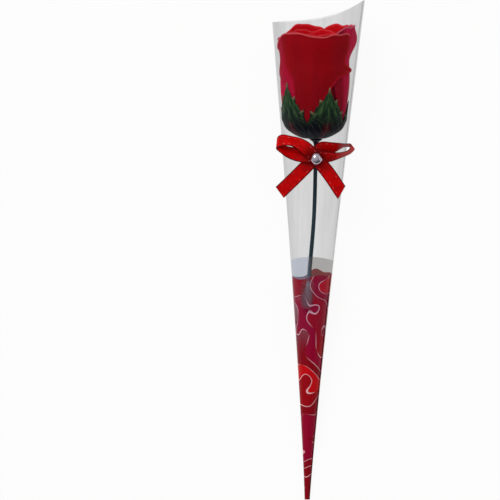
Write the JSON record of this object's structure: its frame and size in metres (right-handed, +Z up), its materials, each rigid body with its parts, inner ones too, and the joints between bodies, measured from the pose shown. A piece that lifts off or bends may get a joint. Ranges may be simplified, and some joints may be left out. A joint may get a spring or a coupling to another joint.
{
  "type": "crepe paper rose",
  "caption": "Single red paper rose with calyx and stem, lying in a clear tapered sleeve tied with a ribbon bow and a bead.",
  "frame": {"origin": "on the flat strip along the sleeve's underside, halfway along its length, where the part rests on a table", "axes": "+Y along the sleeve from its narrow tip to its open mouth, +Z up towards the bow, +X across"},
  "size_m": [0.0685, 0.372, 0.062],
  "materials": {
    "petal_paper": "deep red crepe paper, matt",
    "calyx_green": "dark green moulded sepals",
    "stem_plastic": "dark teal moulded stem",
    "clear_film": "clear glossy film, printed red towards its tip",
    "satin_ribbon": "red satin with stitched edges",
    "silver_bead": "polished silver"
  },
  "bodies": {
    "root": {"petal_01": "petal_paper", "petal_02": "petal_paper", "petal_03": "petal_paper", "petal_04": "petal_paper", "petal_05": "petal_paper", "petal_06": "petal_paper", "petal_07": "petal_paper", "petal_08": "petal_paper", "petal_09": "petal_paper", "petal_10": "petal_paper", "petal_11": "petal_paper", "petal_12": "petal_paper", "petal_13": "petal_paper", "petal_14": "petal_paper", "bud": "petal_paper", "calyx": "calyx_green", "receptacle": "calyx_green", "stem": "stem_plastic", "sleeve": "clear_film", "ribbon_bow": "satin_ribbon", "bead": "silver_bead"}
  },
  "joints": []
}
